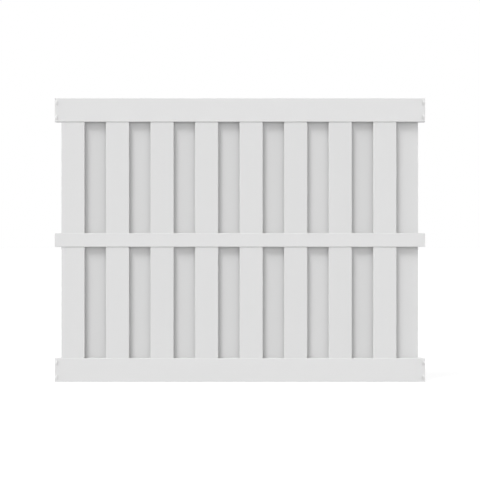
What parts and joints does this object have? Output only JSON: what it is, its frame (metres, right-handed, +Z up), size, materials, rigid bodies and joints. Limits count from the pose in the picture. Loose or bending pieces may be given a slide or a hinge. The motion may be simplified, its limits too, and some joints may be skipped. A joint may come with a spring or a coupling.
{
  "type": "shadowbox fence panel",
  "caption": "Flat-topped shadowbox fence panel of hollow vinyl rails and pickets set alternately front and back, with lock tabs at the rail ends.",
  "frame": {"origin": "middle of the bottom rail's underside, on the face that bears on the post pockets", "axes": "+X along the rails, +Y towards the back, +Z up"},
  "size_m": [2.388, 0.058, 1.8288],
  "materials": {
    "rail_vinyl": "satin",
    "picket_vinyl": "satin",
    "mill_aluminium": "satin"
  },
  "bodies": {
    "root": {"top_rail": "rail_vinyl", "mid_rail": "rail_vinyl", "bottom_rail": "rail_vinyl", "bottom_rail_stiffener": "mill_aluminium", "front_picket_1": "picket_vinyl", "back_picket_1": "picket_vinyl", "front_picket_2": "picket_vinyl", "back_picket_2": "picket_vinyl", "front_picket_3": "picket_vinyl", "back_picket_3": "picket_vinyl", "front_picket_4": "picket_vinyl", "back_picket_4": "picket_vinyl", "front_picket_5": "picket_vinyl", "back_picket_5": "picket_vinyl", "front_picket_6": "picket_vinyl", "back_picket_6": "picket_vinyl", "front_picket_7": "picket_vinyl", "back_picket_7": "picket_vinyl", "front_picket_8": "picket_vinyl", "back_picket_8": "picket_vinyl"}
  },
  "joints": []
}
